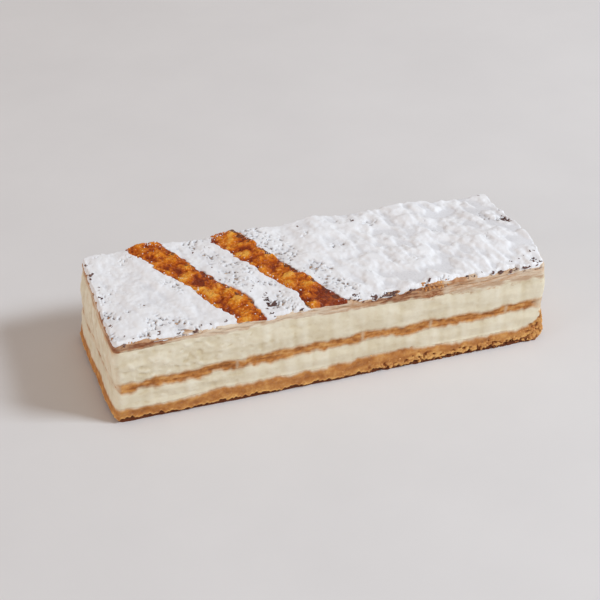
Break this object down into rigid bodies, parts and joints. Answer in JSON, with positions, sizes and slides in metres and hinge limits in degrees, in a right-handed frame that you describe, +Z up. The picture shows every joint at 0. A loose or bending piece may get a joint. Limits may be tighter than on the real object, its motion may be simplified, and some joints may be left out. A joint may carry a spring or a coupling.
{
  "type": "mille feuille",
  "caption": "Long rectangular strip of mille feuille: thick and thin puff pastry sheets with deep vanilla cream between them, topped with icing sugar crossed by slanting bands of caramel.",
  "frame": {"origin": "centre of the underside of the whole block, on the surface it stands on", "axes": "+X along the length, from the end nearer the caramel bands to the plain sugared end; -Y is the long front side; +Z up"},
  "size_m": [0.2708, 0.0924, 0.0584],
  "materials": {
    "base_pastry": null,
    "cream": null,
    "middle_pastry": null,
    "top_pastry": null,
    "icing_sugar": null,
    "caramel": null,
    "dark_crumb": null
  },
  "bodies": {
    "root": {"base_pastry": "base_pastry", "lower_cream": "cream", "middle_pastry": "middle_pastry", "upper_cream": "cream", "top_pastry": "top_pastry"}
  },
  "joints": []
}
